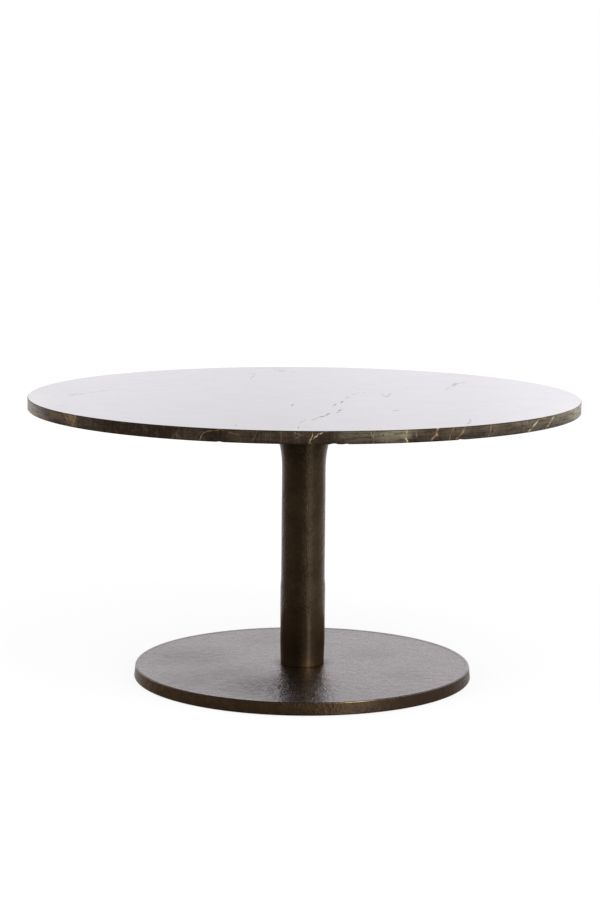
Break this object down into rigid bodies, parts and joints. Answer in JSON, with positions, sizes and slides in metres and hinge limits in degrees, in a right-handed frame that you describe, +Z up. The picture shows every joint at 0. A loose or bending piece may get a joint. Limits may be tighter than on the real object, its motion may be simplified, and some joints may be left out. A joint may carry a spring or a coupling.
{
  "type": "round cocktail table",
  "caption": "Low round table: a thin polished brown marble disc on a slim dark cast bronze column that flares under the top and stands on a thin round disc foot.",
  "frame": {"origin": "on the floor, under the middle of the table", "axes": "+Z up along the column; X and Y level, with X through a glide and a top fixing"},
  "size_m": [0.7999, 0.8, 0.416],
  "materials": {
    "marble": "polished dark brown marble with cream and tan veins",
    "cast_bronze": "sand-cast bronze with a dark antique patina",
    "plate_steel": "black powder-coated steel",
    "zinc_steel": "zinc-plated steel fasteners",
    "insert_brass": "turned brass",
    "pad_rubber": "black rubber",
    "glide_nylon": "dark moulded nylon"
  },
  "bodies": {
    "root": {"marble_top": "marble", "top_inserts": "insert_brass", "top_pad_1": "pad_rubber", "top_pad_2": "pad_rubber", "top_pad_3": "pad_rubber", "top_pad_4": "pad_rubber", "top_pad_5": "pad_rubber", "top_pad_6": "pad_rubber", "top_washers": "zinc_steel", "top_screws": "zinc_steel", "top_plate": "plate_steel", "top_hub": "zinc_steel", "column": "cast_bronze", "tie_rod": "zinc_steel", "rod_top_washer": "zinc_steel", "rod_top_nut": "zinc_steel", "base_washer": "zinc_steel", "base_spring_washer": "zinc_steel", "base_nut": "zinc_steel", "base_disc": "cast_bronze", "base_glide_1": "glide_nylon", "base_glide_2": "glide_nylon", "base_glide_3": "glide_nylon", "base_glide_4": "glide_nylon", "base_glide_5": "glide_nylon", "base_glide_6": "glide_nylon"}
  },
  "joints": []
}
